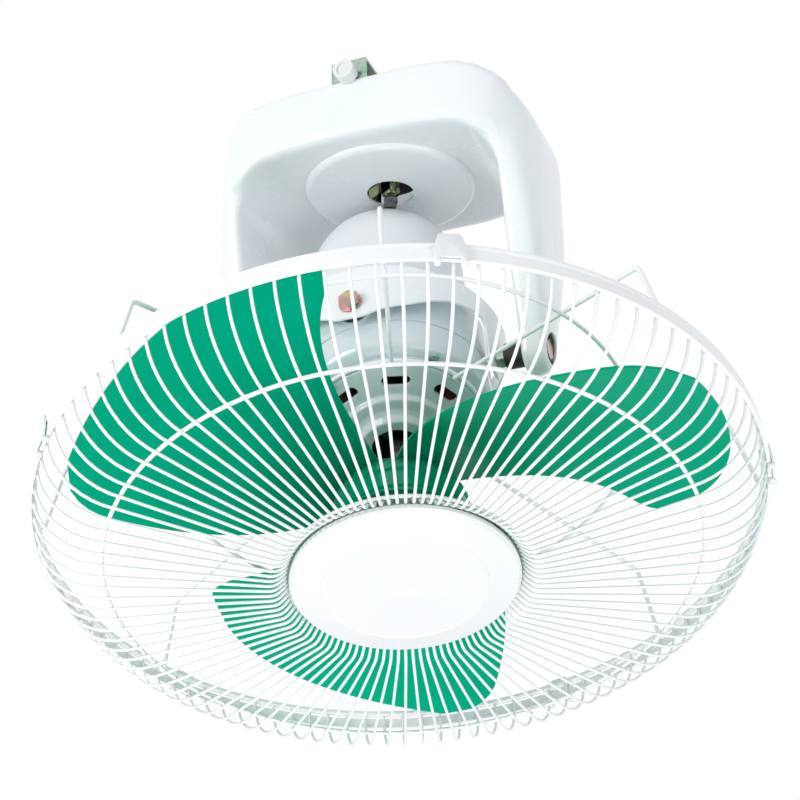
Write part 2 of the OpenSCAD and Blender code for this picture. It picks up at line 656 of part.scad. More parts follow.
module fan_blades() color("mediumseagreen") at_head() difference() {
    union() {
        rotate_extrude() polygon([[0, hub_top], [0.65 * hub_r, hub_top], [hub_r, hub_top - 0.38 * hub_r],
            [hub_r, hub_low], [0, hub_low]]);
        ring_of(blades) blade();
    }
    along_z(hub_low - 1, hub_top + 1, hub_bore);
    translate([0, 0, pin_z]) along_x(-13 - snug, 13 + snug, pin_r + snug);
    translate([-13 - snug, -pin_r - snug, pin_z]) cube([26 + 2 * snug, 2 * (pin_r + snug), 10]);
}
module blade_nut() color("mediumseagreen") at_head() difference() {
    union() {
        along_z(hub_low - 9, hub_low - snug, 13);
        ring_of(10) translate([12.5, 0, 0]) along_z(hub_low - 8, hub_low - 1, 2);
    }
    along_z(hub_low - 6 - gap, hub_low + 1, hub_bore);
}

// ---- rear guard ------------------------------------------------------------
rim_ring_r = guard_r - rim_d / 2;
spoke_r = spoke_d / 2;
mid_d = 2.5;
spoke_foot = [rim_ring_r - rim_d / 2 - spoke_r - snug, rim_z - 1.5];
spoke_knee = [0.9333 * guard_r, rim_z + 0.2142 * guard_r];
spoke_end = [neck_out + 1, face_z - 1.3];
function spoke_z(r) = mix(spoke_knee[1], spoke_end[1], (spoke_knee[0] - r) / (spoke_knee[0] - spoke_end[0]));
spoke_step = 43.3;
spoke_turn = -71.6;
// Seven spokes are evenly spread, and the eighth closes the wider space at the far side
function spoke_a(k) = k < 8 ? spoke_turn + (k - 4) * spoke_step : spoke_turn + 180;
module rear_spoke(k) color("white") at_head() rotate([0, 0, spoke_a(k)]) {
    bar(spoke_foot, spoke_knee, spoke_d);
    translate([spoke_knee[0], 0, spoke_knee[1]]) sphere(d = spoke_d + 0.1, $fn = 32);
    bar(spoke_knee, spoke_end, spoke_d);
}
module rear_rim_ring() color("lightgray") at_head() ring_wire(rim_ring_r, rim_z, rim_d);
module rear_mid_ring() color("white") at_head()
    ring_wire(mid_r, spoke_z(mid_r) - spoke_r - mid_d / 2 - 2 * snug, mid_d);
inner_ring_r = neck_out + gap + spoke_r;
module rear_inner_ring() color("white") at_head()
    ring_wire(inner_ring_r, spoke_z(inner_ring_r) + spoke_d + 3 * snug, spoke_d);

// ---- front guard -----------------------------------------------------------
hoop_top = rim_z - 3.5;
hoop_low = hoop_top - hoop_h;
hoop_t = 1.5;
wire_r = wire_d / 2;
knee_r = guard_r - knee_in;
bend_r = badge_r + bend_out;
wire_top_r = guard_r - hoop_t - wire_r - snug;
knee_bend = wire_top_r - knee_r;             // the wires turn in through a quarter round
knee_z = rim_z - knee_drop;
bend_z = rim_z - bend_drop;
wire_end = [badge_r + 1.5, bend_z + 8];
wire_turn = spoke_turn - 1;
module front_hoop() color("white") at_head() rotate_extrude()
    polygon([[guard_r - hoop_t, hoop_top], [guard_r, hoop_top], [guard_r, hoop_low],
        [guard_r - 2.2, hoop_low], [guard_r - 2.2, hoop_low + 1], [guard_r - hoop_t, hoop_low + 1]]);
// The three curved runs and the straight run of a wire are solids of their own that meet end to end
module front_wire() {
    translate([knee_r, 0, knee_z + knee_bend]) rotate([90, 0, 0]) for (a = [-90, -62, -34])
        rotate([0, 0, a]) rotate_extrude(angle = 27.9) translate([knee_bend, 0])
            circle(r = wire_r, $fn = 16);
    bar([knee_r - 3 * snug, knee_z], [bend_r, bend_z], wire_d);
    bar([bend_r, bend_z], wire_end, wire_d);
}
module front_wires() color("white") at_head() ring_of(wires, wire_turn) front_wire();
module front_rings() color("white") at_head() {
    ring_wire(knee_r, knee_z + wire_r + 1.25 + snug, 2.5);
    ring_wire(end_ring_r, wire_end[1] + wire_r + 1.25 + 2 * snug, 2.5);
}
badge_z = bend_z + 6;               // rim of the badge
end_ring_r = wire_end[0] + 1;       // ring that ties the wires' inner ends
flange_z = wire_end[1] + wire_r + 2 * snug;
module badge() color("white") at_head() rotate_extrude()
    polygon([[0, bend_z - 3], [0.72 * badge_r - 1, bend_z - 2.2], [0.72 * badge_r, bend_z - 1.4],
        [0.72 * badge_r + 1, bend_z - 1.8], [badge_r - 2, bend_z + 1.2], [badge_r, bend_z + 3.5],
        [badge_r, badge_z],
        [badge_r - 1.5, badge_z], [badge_r - 1.5, bend_z + 4], [badge_r - 3, bend_z + 2.8],
        [0.72 * badge_r, bend_z + 0.4], [0, bend_z - 1.4]]);
module badge_plate() color("silver") at_head() difference() {
    union() {
        along_z(badge_z + snug, flange_z + 1, badge_r - 1);
        along_z(flange_z, flange_z + 2.4, end_ring_r - 1.25 - snug);
    }
    along_z(badge_z - 1, flange_z + 0.9, badge_r - 4);
    ring_of(6) translate([badge_r * 0.6, 0, 0]) along_z(badge_z, flange_z + 4, 6);
}

// ---- guard clips -----------------------------------------------------------
clip_turn = -62.6;
clip_t = 1.2;
clip_bore = rim_d / 2 + gap + snug;
toe_r = 2;
toe_z = hoop_low - 0.5 - toe_r;
module guard_clip(k) color("white") at_head() rotate([0, 0, clip_turn - (k - 1) * 72]) {
    half = clip_w / 2;
    difference() {
        union() {
            translate([rim_ring_r, 6, rim_z]) rotate([90, 0, 0]) cylinder(h = 12, r = clip_bore + 0.65);
            translate([rim_ring_r, -6, rim_z - 1]) cube([guard_r + 1 - rim_ring_r, 12, 2]);
        }
        translate([rim_ring_r, 10, rim_z]) rotate([90, 0, 0]) cylinder(h = 20, r = clip_bore);
    }
    translate([guard_r + 0.7, 0, 0]) rotate([90, 0, 90]) linear_extrude(clip_t) {
        polygon([[-half, rim_z - 3], [half, rim_z - 3], [half - 3.5, rim_z + 7], [3.5 - half, rim_z + 7]]);
        for (s = [-1, 1]) translate([s * (half - 2) - 2, toe_z]) square([4, rim_z - 2 - toe_z]);
    }
    for (s = [-1, 1]) translate([0, s * (half - 2), toe_z])
        along_x(guard_r - 2.6, guard_r + 0.7 + clip_t, toe_r);
}

ceiling_bracket();
bracket_nuts();
thumb_screw(-90);  // thumb_screw_1
thumb_screw(90);  // thumb_screw_2
base_frame();
dish_cup();
terminal_block();
terminal_screws();
crank_socket();
socket_screws();
arm_bolts();
arm_bushes();
arm_nuts();
gimbal_ring();
ring_bolts();
ring_bushes();
rear_cover();
rear_shell();
front_shell();
shell_screws();
stator_core();
stator_winding();
front_bearing();
rear_bearing();
run_capacitor();
gearbox_base();
gearbox_lid();
gear_first();
gear_second();
crank_gear();
crank_arm();
crank_pin();
crank_screw();
motor_shaft();
motor_pinion();
rotor_core();
drive_pin();
fan_blades();
blade_nut();
rear_spoke(1);  // rear_spoke_1
rear_spoke(2);  // rear_spoke_2
rear_spoke(3);  // rear_spoke_3
rear_spoke(4);  // rear_spoke_4
rear_spoke(5);  // rear_spoke_5
rear_spoke(6);  // rear_spoke_6
rear_spoke(7);  // rear_spoke_7
rear_spoke(8);  // rear_spoke_8
rear_rim_ring();
rear_mid_ring();
rear_inner_ring();
front_hoop();
front_wires();
front_rings();
badge();
badge_plate();
guard_clip(1);  // guard_clip_1
guard_clip(2);  // guard_clip_2
guard_clip(3);  // guard_clip_3
guard_clip(4);  // guard_clip_4
guard_clip(5);  // guard_clip_5
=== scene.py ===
# Orbit fan for a ceiling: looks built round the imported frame.
import bpy, bmesh, json, math
from mathutils import Matrix, Vector


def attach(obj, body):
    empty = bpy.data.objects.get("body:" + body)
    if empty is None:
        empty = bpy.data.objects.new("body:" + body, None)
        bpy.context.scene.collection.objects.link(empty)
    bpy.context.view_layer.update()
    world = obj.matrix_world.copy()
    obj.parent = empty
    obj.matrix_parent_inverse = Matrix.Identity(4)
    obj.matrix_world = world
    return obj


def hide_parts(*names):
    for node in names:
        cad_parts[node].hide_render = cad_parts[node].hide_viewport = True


bpy.context.scene.view_settings.view_transform = "Standard"
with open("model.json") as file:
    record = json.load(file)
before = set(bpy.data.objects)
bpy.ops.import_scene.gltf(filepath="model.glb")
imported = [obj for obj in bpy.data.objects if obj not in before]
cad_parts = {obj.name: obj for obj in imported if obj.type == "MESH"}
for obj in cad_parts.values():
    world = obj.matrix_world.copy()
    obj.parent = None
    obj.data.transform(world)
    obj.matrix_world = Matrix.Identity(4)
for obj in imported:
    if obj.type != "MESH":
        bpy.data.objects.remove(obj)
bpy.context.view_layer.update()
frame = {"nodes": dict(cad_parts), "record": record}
nodes = frame["nodes"]
print("frame loaded:", len(nodes), "nodes")

# where the fan head hangs at rest, as in the part's own source
orbit = {"drop": 0.212, "tilt": 19.4, "phase": 118.0, "bladeTurn": -161.6, "wireTurn": -72.6}
phase, tilt = math.radians(orbit["phase"]), math.radians(orbit["tilt"])
headLean = math.asin(math.cos(phase) * math.sin(tilt))
ringLean = -math.asin(math.sin(phase) * math.sin(tilt) / math.cos(headLean))
gimbal = Vector((0, 0, -orbit["drop"]))
ringPlace = Matrix.Translation(gimbal) @ Matrix.Rotation(ringLean, 4, "X")
headPlace = ringPlace @ Matrix.Rotation(headLean, 4, "Y")


class Value:
    # one output of a node, which sums and products can be written with
    def __init__(self, finish, socket):
        self.finish, self.socket = finish, socket

    def sum(self, operation, first, second):
        return self.finish.node("ShaderNodeMath", {"operation": operation}, {0: first, 1: second})

    def __add__(self, other): return self.sum("ADD", self, other)
    def __radd__(self, other): return self.sum("ADD", other, self)
    def __rmul__(self, other): return self.sum("MULTIPLY", other, self)


class Finish:
    # a material with its shader, and one way to add any other node
    def __init__(self, name, **constants):
        self.material = bpy.data.materials.new(name)
        self.material.use_nodes = True
        self.tree = self.material.node_tree
        self.shader = self.tree.nodes["Principled BSDF"]
        for key, value in constants.items():
            self.shader.inputs[key.replace("_", " ")].default_value = value

    def node(self, kind, settings=None, plugs=None, out=0):
        made = self.tree.nodes.new(kind)
        for key, value in (settings or {}).items():
            if key == "stops":
                ramp = made.color_ramp
                while len(ramp.elements) < len(value):
                    ramp.elements.new(0.5)
                for element, (place, colour) in zip(ramp.elements, value):
                    element.position = place
                    element.color = (*colour, 1)
            else:
                setattr(made, key, value)
        for key, value in (plugs or {}).items():
            self.plug(made.inputs[key], value)
        return Value(self, made.outputs[out])

    def plug(self, socket, value):
        if isinstance(value, Value):
            self.tree.links.new(value.socket, socket)
        elif isinstance(value, (tuple, list)) and len(value) == 3 and socket.type == "RGBA":
            socket.default_value = (*value, 1)
        else:
            socket.default_value = value

    def feed(self, name, value):
        self.plug(self.shader.inputs[name], value)

    def place(self, turn=None):
        spot = self.node("ShaderNodeTexCoord", out="Object")
        if turn is None:
            return spot
        inverse = turn.inverted()
        return self.node("ShaderNodeMapping", None,
                         {"Vector": spot, "Location": tuple(inverse.translation),
                          "Rotation": tuple(inverse.to_euler())})

    def scaled(self, spot, scale):
        return self.node("ShaderNodeMapping", None, {"Vector": spot, "Scale": scale})

    def away(self, spot, centre):
        return self.node("ShaderNodeVectorMath", {"operation": "DISTANCE"}, {0: spot, 1: centre}, 1)

    def reach(self, spot):
        # how far out from the Z axis
        flat = self.node("ShaderNodeVectorMath", {"operation": "MULTIPLY"}, {0: spot, 1: (1, 1, 0)})
        return self.node("ShaderNodeVectorMath", {"operation": "LENGTH"}, {0: flat}, 1)

    def noise(self, spot, scale, detail):
        return self.node("ShaderNodeTexNoise", None,
                         {"Vector": spot, "Scale": scale, "Detail": detail, "Roughness": 0.55})

    def between(self, value, low, high, toLow=0.0, toHigh=1.0):
        return self.node("ShaderNodeMapRange", {"clamp": True},
                         {"Value": value, "From Min": low, "From Max": high,
                          "To Min": toLow, "To Max": toHigh})

    def mix(self, factor, first, second):
        return self.node("ShaderNodeMix", {"data_type": "RGBA"}, {0: factor, 6: first, 7: second}, 2)

    def bump(self, height, distance):
        self.feed("Normal", self.node("ShaderNodeBump", None,
                                      {"Height": height, "Distance": distance, "Strength": 1.0}))


weldSpot = {"place": (-0.0685, -0.077, -0.0274), "core": 0.0008, "edge": 0.0028,
            "tone": (0.42, 0.45, 0.52)}


def paint(name, colour, shade, rough, coat, peel=420.0, depth=0.00006, weld=None):
    # sprayed paint: faint clouding, orange peel, a few duller patches, and the dark dot of a weld
    made = Finish(name, Coat_Weight=coat, Coat_Roughness=0.12, Specular_IOR_Level=0.5)
    spot = made.place()
    clouds = made.noise(spot, 9, 3)
    specks = made.noise(spot, 950, 2)
    tone = made.mix(made.between(clouds, 0.38, 0.75), colour, shade)
    if weld:
        off = made.between(made.away(spot, weld["place"]), weld["core"], weld["edge"])
        tone = made.mix(off, weld["tone"], tone)
    made.feed("Base Color", tone)
    made.feed("Roughness", rough + made.between(made.noise(spot, 34, 4), 0.35, 0.75, 0, 0.12)
              + made.between(specks, 0.62, 0.8, 0, 0.1))
    made.bump(made.noise(spot, peel, 2) + 0.25 * specks, depth)
    return made.material


# painted shade in the dish's hole, and a painted highlight along the strap across it
socketShadeStrap = {"place": (0, 0, -0.06), "reach": 0.0215, "fade": 0.002, "turn": math.radians(30),
               "half": 0.0042, "edge": 0.0006, "tone": (0.72, 0.78, 0.56),
               "dark": (0.006, 0.008, 0.006)}


def zincPlate(name, colour, other, third, rough=0.3, shadeStrap=None):
    # plated steel whose tint drifts, with fine scratches; in the dish's hole a painted shade, nearly
    # black, crossed by a strap in a pale painted highlight
    made = Finish(name, Metallic=1.0)
    spot = made.place()
    drift = made.noise(spot, 95, 3)
    stops = [(0.3, colour), (0.5, other), (0.7, third)]
    tint = made.node("ShaderNodeValToRGB", {"stops": stops}, {"Fac": drift})
    # painted shade round the socket seen through the dish's hole; the strap's pale tone is a painted
    # highlight
    if shadeStrap:
        inShade = made.between(made.away(spot, shadeStrap["place"]),
                            shadeStrap["reach"], shadeStrap["reach"] + shadeStrap["fade"], 1, 0)
        lined = made.node("ShaderNodeMapping", None,
                          {"Vector": spot, "Rotation": (0, 0, shadeStrap["turn"])})
        across = made.node("ShaderNodeSeparateXYZ", None, {0: lined}, 1)
        beside = made.between(made.node("ShaderNodeMath", {"operation": "ABSOLUTE"}, {0: across}),
                              shadeStrap["half"], shadeStrap["half"] + shadeStrap["edge"])
        tint = made.mix(inShade, tint, made.mix(beside, shadeStrap["tone"], shadeStrap["dark"]))
    scratch = made.noise(made.scaled(spot, (90, 1200, 300)), 1.0, 2)
    made.feed("Base Color", tint)
    made.feed("Roughness", rough + made.between(scratch, 0.4, 0.7, 0, 0.2))
    made.bump(scratch, 0.00003)
    return made.material


def mouldedPlastic(name, colour, shade, rough, grain=600.0, depth=0.00003, **more):
    # moulded plastic: faint flow marks, a fine grain, and patches that are duller
    made = Finish(name, **more)
    spot = made.place()
    flow = made.noise(spot, 14, 3)
    made.feed("Base Color", made.mix(made.between(flow, 0.35, 0.7), colour, shade))
    made.feed("Roughness", rough + made.between(made.noise(spot, 48, 3), 0.35, 0.75, 0, 0.14))
    made.bump(made.noise(spot, grain, 2), depth)
    return made.material


def motorPaint(name):
    # pale blue-grey enamel, with painted shade: black inside the nose's bore
    made = Finish(name, Coat_Weight=0.6, Coat_Roughness=0.06, Specular_IOR_Level=0.5)
    head = made.place(headPlace)
    reach = made.reach(head)
    clouds = made.noise(head, 11, 3)
    enamel = made.mix(made.between(clouds, 0.36, 0.72), (0.72, 0.79, 0.81), (0.62, 0.71, 0.735))
    # painted shade: the nose's bore is coloured black, as the shade in the hole
    shadedBore = made.between(reach, 0.01655, 0.01675)
    made.feed("Base Color", made.mix(shadedBore, (0.006, 0.006, 0.007), enamel))
    made.feed("Roughness", 0.1 + made.between(made.noise(head, 40, 4), 0.35, 0.75, 0, 0.12))
    made.bump(made.noise(head, 260, 2), 0.00007)
    return made.material


def bladeGreen(name):
    # tinted blade plastic: painted shade makes the green deeper towards the hub, which is also
    # glossier, with flow lines out along the blade
    made = Finish(name, Specular_IOR_Level=0.03, Coat_Roughness=0.08, IOR=1.3)
    head = made.place(headPlace)
    reach = made.reach(head)
    # painted shade: the green darkens towards the hub
    out = made.between(reach, 0.03, 0.17)
    body = made.mix(out, (0.0, 0.27, 0.135), (0.0, 0.42, 0.235))
    made.feed("Coat Weight", made.between(reach, 0.05, 0.062, 0.55, 0.0))
    flow = made.noise(made.scaled(head, (22, 22, 60)), 1.0, 4)
    streaks = made.between(flow, 0.4, 0.75, 0, 0.5)
    made.feed("Base Color", made.mix(streaks, body, (0.0, 0.47, 0.27)))
    made.feed("Roughness", 0.28 + made.between(flow, 0.3, 0.8, 0, 0.16))
    made.bump(made.noise(head, 380, 3), 0.00004)
    return made.material


def copperWindings(name):
    # turns of varnished wire round the motor's axis
    made = Finish(name, Metallic=1.0)
    spot = made.place(headPlace)
    turns = made.node("ShaderNodeTexWave", {"wave_type": "RINGS", "rings_direction": "Z"},
                      {"Vector": spot, "Scale": 420.0, "Distortion": 1.2, "Detail": 2.0})
    made.feed("Base Color", made.mix(turns, (0.36, 0.11, 0.035), (0.78, 0.33, 0.13)))
    made.feed("Roughness", 0.25 + 0.25 * turns)
    made.bump(turns, 0.0003)
    return made.material


def laminated(name):
    # thin steel sheets stacked along the motor's axis
    made = Finish(name, Metallic=0.9)
    spot = made.place(headPlace)
    sheets = made.node("ShaderNodeTexWave", {"bands_direction": "Z"}, {"Vector": spot, "Scale": 620.0})
    made.feed("Base Color", made.mix(sheets, (0.16, 0.165, 0.17), (0.42, 0.43, 0.44)))
    made.feed("Roughness", 0.35 + 0.2 * sheets)
    made.bump(sheets, 0.0002)
    return made.material


finishes = {
    "white_steel": paint("paintedSteel", (0.93, 0.95, 0.965), (0.88, 0.915, 0.935), 0.2, 0.55,
                         weld=weldSpot),
    "cover_white": mouldedPlastic("coverPlastic", (0.86, 0.865, 0.885), (0.82, 0.83, 0.855), 0.3),
    "motor_paint": motorPaint("motorPaint"),
    "wire_white": paint("wirePaint", (0.985, 0.985, 0.99), (0.95, 0.955, 0.965), 0.26, 0.3,
                        700.0, 0.00003),
    "clip_white": mouldedPlastic("clipPlastic", (0.93, 0.935, 0.94), (0.88, 0.89, 0.9), 0.32),
    "badge_white": mouldedPlastic("badgePlastic", (0.93, 0.93, 0.94), (0.905, 0.905, 0.915), 0.2,
                                  Coat_Weight=0.3),
    "knob_white": mouldedPlastic("knobPlastic", (0.86, 0.86, 0.86), (0.8, 0.8, 0.8), 0.35),
    "fan_green": bladeGreen("bladePlastic"),
    "zinc": zincPlate("zincPlate", (0.22, 0.42, 0.33), (0.46, 0.58, 0.5), (0.3, 0.27, 0.17)),
    "yellow_zinc": zincPlate("yellowZinc", (0.52, 0.6, 0.2), (0.62, 0.3, 0.36), (0.2, 0.4, 0.2), 0.2,
                             socketShadeStrap),
    "black_rubber": mouldedPlastic("blackRubber", (0.015, 0.015, 0.017), (0.028, 0.028, 0.03), 0.55,
                                   900.0, 0.00008),
    "terminal_plastic": mouldedPlastic("terminalPlastic", (0.72, 0.7, 0.62), (0.66, 0.64, 0.56), 0.4),
    "brass": zincPlate("brass", (0.7, 0.5, 0.18), (0.78, 0.58, 0.24), (0.62, 0.43, 0.15), 0.26),
    # painted shade: the steel is tinted dark overall so the shaft looks shaded in the nose's hole
    "steel": zincPlate("steel", (0.2, 0.2, 0.21), (0.3, 0.3, 0.31), (0.14, 0.14, 0.15), 0.3),
    "laminations": laminated("laminations"),
    "copper_wire": copperWindings("windings"),
    "die_cast": zincPlate("dieCast", (0.5, 0.51, 0.53), (0.58, 0.59, 0.6), (0.45, 0.46, 0.48), 0.42),
    "capacitor_black": mouldedPlastic("capacitorCase", (0.02, 0.02, 0.022), (0.035, 0.035, 0.04), 0.42),
}
slotOf = {part["node"]: part["material_slot"] for part in frame["record"]["subparts"]}
for name, thing in nodes.items():
    thing.data.materials.clear()
    thing.data.materials.append(finishes[slotOf[name]])
print("finishes made:", len(finishes))


def piece(name, bm, body, slot, replaced, smooth, recalc=True):
    # a finished mesh becomes an object that rides on its body
    if recalc:
        bmesh.ops.recalc_face_normals(bm, faces=bm.faces)
    mesh = bpy.data.meshes.new(name)
    bm.to_mesh(mesh)
    bm.free()
    mesh.polygons.foreach_set("use_smooth", [True] * len(mesh.polygons))
    mesh.set_sharp_from_angle(angle=math.radians(smooth))
    mesh.materials.append(finishes[slot])
    made = bpy.data.objects.new(name, mesh)
    bpy.context.scene.collection.objects.link(made)
    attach(made, body)
    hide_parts(*replaced)


def slab(outline, place, depth):
    # a flat outline pushed out to a thick plate; place turns flat points into the frame
    bm = bmesh.new()
    face = bm.faces.new([bm.verts.new(place(u, v, -depth)) for u, v in outline])
    grown = bmesh.ops.extrude_face_region(bm, geom=[face], use_keep_orig=True)
    bmesh.ops.translate(bm, verts=[v for v in grown["geom"] if isinstance(v, bmesh.types.BMVert)],
                        vec=place(0, 0, depth) - place(0, 0, -depth))
    bmesh.ops.recalc_face_normals(bm, faces=bm.faces)
    return bm


def loose(bm, name="part"):
    mesh = bpy.data.meshes.new(name)
    bm.to_mesh(mesh)
    bm.free()
    made = bpy.data.objects.new(name, mesh)
    bpy.context.scene.collection.objects.link(made)
    return made


def settled(made, drop=()):
    # the object's mesh with its modifiers worked in; the object and its tools are thrown away
    bpy.context.view_layer.update()
    mesh = bpy.data.meshes.new_from_object(made.evaluated_get(bpy.context.evaluated_depsgraph_get()))
    bm = bmesh.new()
    bm.from_mesh(mesh)
    for old in (made, *drop):
        bpy.data.objects.remove(old)
    return bm


def carved(bm, *others, operation="INTERSECT"):
    base, tools = loose(bm), [loose(other) for other in others]
    for tool in tools:
        cut = base.modifiers.new("cut", "BOOLEAN")
        cut.operation, cut.solver, cut.object = operation, "EXACT", tool
    return settled(base, tools)


def revolved(profile, steps):
    # a profile of (radius, height) points spun round the Z axis
    bm = bmesh.new()
    points = [bm.verts.new((r, 0, z)) for r, z in profile]
    edges = [bm.edges.new(pair) for pair in zip(points, points[1:])]
    bmesh.ops.spin(bm, geom=points + edges, cent=(0, 0, 0), axis=(0, 0, 1), angle=math.tau, steps=steps,
                   use_merge=True)
    bmesh.ops.remove_doubles(bm, verts=bm.verts, dist=1e-6)
    bmesh.ops.dissolve_degenerate(bm, edges=bm.edges, dist=1e-7)
    return bm


def rounded(points, radius, steps):
    # the same run of points with its corners rounded off
    made = [Vector(points[0])]
    for before, corner, after in zip(points, points[1:], points[2:]):
        before, corner, after = Vector(before), Vector(corner), Vector(after)
        reach = min(radius, (before - corner).length / 2.1, (after - corner).length / 2.1)
        start = corner + (before - corner).normalized() * reach
        end = corner + (after - corner).normalized() * reach
        for i in range(steps + 1):
            t = i / steps
            made.append(start * (1 - t) ** 2 + corner * 2 * t * (1 - t) + end * t ** 2)
    made.append(Vector(points[-1]))
    return made


def sweep(bm, path, radius, sides):
    # a round wire drawn along a run of points
    path = [Vector(p) for p in path]
    directions = [(b - a).normalized() for a, b in zip(path, path[1:])]
    turn = directions[0].to_track_quat("Z", "Y")
    start = bmesh.ops.create_circle(bm, cap_ends=True, segments=sides, radius=radius,
                                    matrix=Matrix.Translation(path[0]) @ turn.to_matrix().to_4x4())
    ring = list(start["verts"])
    edges = list({e for v in ring for e in v.link_edges if e.other_vert(v) in ring})
    heading = directions[0]
    for i in range(1, len(path)):
        onward = directions[i] if i < len(directions) else directions[-1]
        middle = (directions[i - 1] + onward).normalized()
        grown = bmesh.ops.extrude_edge_only(bm, edges=edges)["geom"]
        ring = [g for g in grown if isinstance(g, bmesh.types.BMVert)]
        edges = [g for g in grown if isinstance(g, bmesh.types.BMEdge)]
        bmesh.ops.translate(bm, verts=ring, vec=path[i] - path[i - 1])
        bmesh.ops.rotate(bm, verts=ring, cent=path[i],
                         matrix=heading.rotation_difference(middle).to_matrix())
        heading = middle
    bmesh.ops.contextual_create(bm, geom=edges)
    return bm


saddle = {
    "half": 0.122, "deep": 0.078, "power": 3.0, "shoulder": 0.05, "rim": -0.015, "plate": -0.062,
    "armIn": 0.0965, "armOut": 0.1155, "low": 0.0185, "mid": 0.043, "high": 0.056, "inner": 0.03,
    "armDrop": 0.012, "waist": 0.38, "sheet": 0.0015, "voxel": 0.0026, "soften": 6, "round": 46,
    "mouthHalf": 0.07, "dishCut": 0.0562,
}


def arcPoints(cx, cy, r, start, end, count=14):
    angles = [math.radians(start + (end - start) * i / count) for i in range(count + 1)]
    return [(cx + r * math.cos(a), cy + r * math.sin(a)) for a in angles]


def mirrored(points):
    return points + [(-u, v) for u, v in reversed(points)]


def saddleForm(s):
    # outlines from the front, from above and from the side; the solid they share is smoothed
    foot = -orbit["drop"] - s["low"]
    corner = arcPoints(s["half"] - s["shoulder"], s["rim"] - s["shoulder"], s["shoulder"], 0, 90)
    front = mirrored([(s["armOut"], foot), (s["armOut"], -orbit["drop"]),
                      (s["half"], s["plate"] - s["inner"])] + corner)
    under = arcPoints(s["armIn"] - s["inner"], s["plate"] - s["inner"], s["inner"], 90, 0)
    under = under + [(s["armIn"], foot)]
    front += [(-u, v) for u, v in reversed(under)] + under
    plan = []
    for i in range(96):
        a = math.tau * i / 96
        c, d = math.cos(a), math.sin(a)
        plan.append((math.copysign(abs(c) ** (2 / s["power"]), c) * s["half"],
                     math.copysign(abs(d) ** (2 / s["power"]), d) * s["deep"]))
    armTop = s["plate"] - s["armDrop"]
    side = mirrored([(s["low"], -orbit["drop"]),
                     (s["mid"], armTop + (-orbit["drop"] - armTop) * s["waist"]), (s["high"], armTop),
                     (s["deep"], s["plate"]), (s["deep"], 0.0)])
    side += arcPoints(0, -orbit["drop"], s["low"], 180, 360, 20)[1:-1]
    bm = carved(slab(front, lambda u, v, w: Vector((u, w, v)), 0.1),
                slab(plan, lambda u, v, w: Vector((u, v, w - 0.15)), 0.16),
                slab(side, lambda u, v, w: Vector((w, u, v)), 0.2))
    lump = loose(bm)
    remesh = lump.modifiers.new("even", "REMESH")
    remesh.mode, remesh.voxel_size = "VOXEL", s["voxel"]
    bm = settled(lump)
    for step in range(s["round"]):
        outer = [v for v in bm.verts if step < s["soften"] or
                 (abs(v.co.x) > s["armIn"] + 0.004 and v.co.z < -0.03)]
        bmesh.ops.smooth_vert(bm, verts=outer, factor=0.5,
                              use_axis_x=True, use_axis_y=True, use_axis_z=True)
    # open to the ceiling inside the rim, and under the dish
    away = []
    for face in bm.faces:
        middle = face.calc_center_median()
        atRim = middle.z > s["rim"] - 0.0012 and face.normal.z > 0.8 and abs(middle.x) < s["mouthHalf"]
        if atRim or (abs(middle.z - s["plate"]) < 0.003 and middle.xy.length < s["dishCut"]):
            away.append(face)
    bmesh.ops.delete(bm, geom=away, context="FACES")
    return bm


def rod(radius, length, middle, axis="X", segments=40):
    # a plain round bar round its middle, for cutting or joining
    bm = bmesh.new()
    turn = Matrix.Rotation(math.radians(90), 4, "Y") if axis == "X" else Matrix()
    bmesh.ops.create_cone(bm, cap_ends=True, segments=segments, radius1=radius, radius2=radius,
                          depth=length, matrix=Matrix.Translation(middle) @ turn)
    return bm


def block(low, high):
    bm = bmesh.new()
    bmesh.ops.create_cube(bm, size=1)
    low, high = Vector(low), Vector(high)
    bmesh.ops.scale(bm, verts=bm.verts, vec=high - low)
    bmesh.ops.translate(bm, verts=bm.verts, vec=(low + high) / 2)
    return bm


def joined(*forms):
    # several forms in one bmesh
    whole = bmesh.new()
    for form in forms:
        mesh = bpy.data.meshes.new("part")
        form.to_mesh(mesh)
        form.free()
        whole.from_mesh(mesh)
        bpy.data.meshes.remove(mesh)
    return whole


def turned(bm, matrix):
    bmesh.ops.transform(bm, matrix=matrix, verts=bm.verts)
    return bm


def eased(bm, width):
    # every edge of the form taken off by a small bevel
    bmesh.ops.bevel(bm, geom=bm.edges[:], offset=width, segments=2, affect="EDGES", profile=0.5,
                    material=-1)
    return bm


shell = loose(saddleForm(saddle))
wall = shell.modifiers.new("sheet", "SOLIDIFY")
wall.thickness, wall.offset, wall.use_rim = saddle["sheet"], -1, True
pivot = {"hatch": 0.011, "hatchOut": 0.0085, "seat": 0.1075, "boss": 0.009, "bore": 0.00405,
         "notch": 0.03, "notchDeep": 0.0022, "notchHalf": 0.008}
cuts, tubes = [], []
for side in (1, -1):
    hatchAt = (side * (pivot["seat"] + pivot["hatchOut"]), 0, -orbit["drop"])
    cuts.append(rod(pivot["hatch"], 0.016, hatchAt))
    cuts.append(block((-pivot["notch"], side * saddle["deep"] - pivot["notchHalf"],
                       saddle["rim"] - pivot["notchDeep"]),
                      (pivot["notch"], side * saddle["deep"] + pivot["notchHalf"], 0.01)))
    tube = rod(pivot["boss"], pivot["seat"] - saddle["armIn"],
               (side * (pivot["seat"] + saddle["armIn"]) / 2, 0, -orbit["drop"]))
    bore = rod(pivot["bore"], 0.04, (side * 0.1, 0, -orbit["drop"]))
    tubes.append(carved(tube, bore, operation="DIFFERENCE"))
form = carved(settled(shell), *cuts, operation="DIFFERENCE")
piece("saddleShell", joined(form, *tubes), "saddle", "white_steel", ["base_frame"], 50, False)
print("saddle made")

